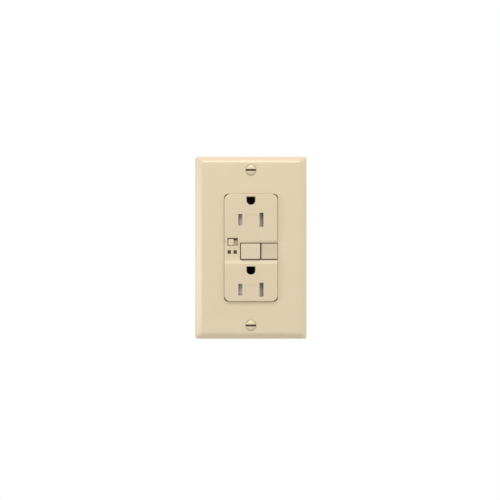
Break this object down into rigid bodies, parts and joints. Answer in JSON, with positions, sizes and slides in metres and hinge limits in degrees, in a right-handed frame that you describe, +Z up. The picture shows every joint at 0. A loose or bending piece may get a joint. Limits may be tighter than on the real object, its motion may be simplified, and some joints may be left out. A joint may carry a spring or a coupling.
{
  "type": "gfci outlet",
  "caption": "Ivory ground-fault outlet with reset and test buttons, tamper shutters and an alarm switch, under a bevelled one-gang wall plate.",
  "frame": {"origin": "centre of the wall plate's back rim, on the finished wall", "axes": "+X right, +Z up towards the upper outlet, +Y into the wall, -Y out of the wall"},
  "size_m": [0.0698, 0.0344, 0.1142],
  "materials": {
    "ivory_plate": "smooth moulded ivory, soft gloss",
    "ivory_face": "fine matt-gloss moulded ivory",
    "ivory_button": "fine satin moulded ivory",
    "ivory_screw": "ivory enamel over steel",
    "shutter_grey": "smooth light grey",
    "zinc_steel": "zinc plated, rolled",
    "spring_steel": "drawn wire",
    "brass": "stamped brass",
    "nickel": "nickel plated",
    "green_steel": "green passivated steel",
    "housing_plastic": "fine spark-eroded texture",
    "tray_plastic": "off-white nylon",
    "fibre": "pressed fibre",
    "copper_wire": "enamelled copper",
    "iron": "turned soft iron",
    "board_green": "solder mask over glass laminate",
    "ferrite": "sintered",
    "varistor_blue": "dipped coating",
    "capacitor_black": "sleeved",
    "resistor_tan": "lacquered",
    "chip_black": "moulded epoxy"
  },
  "bodies": {
    "outlet": {"wall_plate": "ivory_plate", "face": "ivory_face", "mounting_strap": "zinc_steel", "box_mounting_screws": "zinc_steel", "screw_retainers": "fibre", "ground_clips": "brass", "switch_body": "ivory_face", "sounder": "brass", "shutter_cage_upper": "tray_plastic", "shutter_cage_lower": "tray_plastic", "shutter_spring_upper": "spring_steel", "shutter_spring_lower": "spring_steel", "rear_housing": "housing_plastic", "housing_screws": "zinc_steel", "contact_tray": "tray_plastic", "hot_outlet_bus": "brass", "neutral_outlet_bus": "nickel", "hot_line_terminal": "brass", "neutral_line_terminal": "nickel", "hot_feed_bar": "brass", "neutral_feed_bar": "nickel", "reset_spring": "spring_steel", "test_contacts": "tray_plastic", "coil_bobbin": "tray_plastic", "coil_winding": "copper_wire", "plunger_spring": "spring_steel", "transformer_case": "chip_black", "sense_ring": "ferrite", "neutral_ring": "ferrite", "circuit_board": "board_green", "varistor": "varistor_blue", "capacitors": "capacitor_black", "resistors_and_diodes": "resistor_tan", "control_chip": "chip_black", "thyristor": "chip_black"},
    "reset_key": {"reset_button": "ivory_button", "reset_pin": "iron"},
    "carrier": {"latch_carrier": "tray_plastic"},
    "latch": {"latch_plate": "iron"},
    "hot_arm": {"hot_contact_arm": "brass"},
    "neutral_arm": {"neutral_contact_arm": "brass"},
    "test_key": {"test_button": "ivory_button"},
    "test_spring_leaf": {"test_leaf": "brass"},
    "alarm_knob": {"switch_knob": "ivory_button"},
    "solenoid_plunger": {"plunger": "iron"},
    "upper_hot_shutter": {"hot_shutter_upper": "shutter_grey"},
    "upper_neutral_shutter": {"neutral_shutter_upper": "shutter_grey"},
    "lower_hot_shutter": {"hot_shutter_lower": "shutter_grey"},
    "lower_neutral_shutter": {"neutral_shutter_lower": "shutter_grey"},
    "upper_plate_screw": {"plate_screw_upper": "ivory_screw"},
    "lower_plate_screw": {"plate_screw_lower": "ivory_screw"},
    "green_screw": {"ground_screw": "green_steel"},
    "hot_load_clamp_plate": {"hot_load_clamp": "brass"},
    "hot_load_binding_screw": {"hot_load_screw": "brass"},
    "neutral_load_clamp_plate": {"neutral_load_clamp": "nickel"},
    "neutral_load_binding_screw": {"neutral_load_screw": "nickel"},
    "hot_line_clamp_plate": {"hot_line_clamp": "brass"},
    "hot_line_binding_screw": {"hot_line_screw": "brass"},
    "neutral_line_clamp_plate": {"neutral_line_clamp": "nickel"},
    "neutral_line_binding_screw": {"neutral_line_screw": "nickel"}
  },
  "joints": [
    {"name": "reset_press", "type": "slide", "parent": "outlet", "child": "reset_key", "axis": [0, 1, 0], "range_m": [0, 0.002], "stiffness_N_per_m": 600, "springref_m": -0.001, "deforming": ["reset_spring"]},
    {"name": "carrier_slide", "type": "slide", "parent": "outlet", "child": "carrier", "axis": [0, 1, 0], "range_m": [0, 0.002]},
    {"name": "latch_shift", "type": "slide", "parent": "carrier", "child": "latch", "axis": [0, 0, -1], "range_m": [0, 0.0015]},
    {"name": "plunger_stroke", "type": "slide", "parent": "outlet", "child": "solenoid_plunger", "axis": [0, 0, -1], "range_m": [0, 0.0015], "stiffness_N_per_m": 150, "springref_m": -0.001, "deforming": ["plunger_spring"]},
    {"name": "hot_arm_flex", "type": "hinge", "parent": "outlet", "child": "hot_arm", "pos_m": [-0.0078, 0.0099, -0.0205], "axis": [-1, 0, 0], "range_deg": [0, 9]},
    {"name": "neutral_arm_flex", "type": "hinge", "parent": "outlet", "child": "neutral_arm", "pos_m": [0.0078, 0.0099, -0.0205], "axis": [-1, 0, 0], "range_deg": [0, 9]},
    {"name": "test_press", "type": "slide", "parent": "outlet", "child": "test_key", "axis": [0, 1, 0], "range_m": [0, 0.0012], "stiffness_N_per_m": 500, "springref_m": -0.001},
    {"name": "test_leaf_flex", "type": "hinge", "parent": "outlet", "child": "test_spring_leaf", "pos_m": [0.0125, 0.00135, -0.009], "axis": [-1, 0, 0], "range_deg": [0, 12]},
    {"name": "alarm_switch", "type": "slide", "parent": "outlet", "child": "alarm_knob", "axis": [1, 0, 0], "range_m": [0, 0.002]},
    {"name": "plate_screw_upper_turn", "type": "hinge", "parent": "outlet", "child": "upper_plate_screw", "pos_m": [0, 0, 0.04842], "axis": [0, -1, 0], "continuous": true},
    {"name": "plate_screw_lower_turn", "type": "hinge", "parent": "outlet", "child": "lower_plate_screw", "pos_m": [0, 0, -0.04842], "axis": [0, -1, 0], "continuous": true},
    {"name": "ground_screw_turn", "type": "hinge", "parent": "outlet", "child": "green_screw", "pos_m": [0.0135, 0.0054, -0.0386], "axis": [0, 0, -1], "continuous": true},
    {"name": "upper_hot_shutter_slide", "type": "slide", "parent": "outlet", "child": "upper_hot_shutter", "axis": [1, 0, 0], "range_m": [0, 0.0034], "stiffness_N_per_m": 60, "springref_m": -0.001, "deforming": ["shutter_spring_upper"]},
    {"name": "upper_neutral_shutter_slide", "type": "slide", "parent": "outlet", "child": "upper_neutral_shutter", "axis": [-1, 0, 0], "range_m": [0, 0.0034]},
    {"name": "lower_hot_shutter_slide", "type": "slide", "parent": "outlet", "child": "lower_hot_shutter", "axis": [1, 0, 0], "range_m": [0, 0.0034], "stiffness_N_per_m": 60, "springref_m": -0.001, "deforming": ["shutter_spring_lower"]},
    {"name": "lower_neutral_shutter_slide", "type": "slide", "parent": "outlet", "child": "lower_neutral_shutter", "axis": [-1, 0, 0], "range_m": [0, 0.0034]},
    {"name": "hot_load_clamp_slide", "type": "slide", "parent": "outlet", "child": "hot_load_clamp_plate", "axis": [-1, 0, 0], "range_m": [0, 0.002]},
    {"name": "hot_load_screw_turn", "type": "hinge", "parent": "hot_load_clamp_plate", "child": "hot_load_binding_screw", "pos_m": [-0.0165, 0.008, 0.02], "axis": [-1, 0, 0], "range_deg": [0, 910]},
    {"name": "neutral_load_clamp_slide", "type": "slide", "parent": "outlet", "child": "neutral_load_clamp_plate", "axis": [1, 0, 0], "range_m": [0, 0.002]},
    {"name": "neutral_load_screw_turn", "type": "hinge", "parent": "neutral_load_clamp_plate", "child": "neutral_load_binding_screw", "pos_m": [0.0165, 0.008, 0.02], "axis": [1, 0, 0], "range_deg": [0, 910]},
    {"name": "hot_line_clamp_slide", "type": "slide", "parent": "outlet", "child": "hot_line_clamp_plate", "axis": [-1, 0, 0], "range_m": [0, 0.002]},
    {"name": "hot_line_screw_turn", "type": "hinge", "parent": "hot_line_clamp_plate", "child": "hot_line_binding_screw", "pos_m": [-0.0165, 0.008, -0.02], "axis": [-1, 0, 0], "range_deg": [0, 910]},
    {"name": "neutral_line_clamp_slide", "type": "slide", "parent": "outlet", "child": "neutral_line_clamp_plate", "axis": [1, 0, 0], "range_m": [0, 0.002]},
    {"name": "neutral_line_screw_turn", "type": "hinge", "parent": "neutral_line_clamp_plate", "child": "neutral_line_binding_screw", "pos_m": [0.0165, 0.008, -0.02], "axis": [1, 0, 0], "range_deg": [0, 910]}
  ],
  "couplings": [
    {"joint": "carrier_slide", "follows": "reset_press", "ratio": 1},
    {"joint": "latch_shift", "follows": "plunger_stroke", "ratio": 1},
    {"joint": "hot_arm_flex", "follows": "reset_press", "rad_per_m": 64},
    {"joint": "neutral_arm_flex", "follows": "reset_press", "rad_per_m": 64},
    {"joint": "test_leaf_flex", "follows": "test_press", "rad_per_m": 148.08},
    {"joint": "upper_neutral_shutter_slide", "follows": "upper_hot_shutter_slide", "ratio": 1},
    {"joint": "lower_neutral_shutter_slide", "follows": "lower_hot_shutter_slide", "ratio": 1},
    {"joint": "hot_load_screw_turn", "follows": "hot_load_clamp_slide", "rad_per_m": 7913.3},
    {"joint": "neutral_load_screw_turn", "follows": "neutral_load_clamp_slide", "rad_per_m": 7913.3},
    {"joint": "hot_line_screw_turn", "follows": "hot_line_clamp_slide", "rad_per_m": 7913.3},
    {"joint": "neutral_line_screw_turn", "follows": "neutral_line_clamp_slide", "rad_per_m": 7913.3}
  ]
}
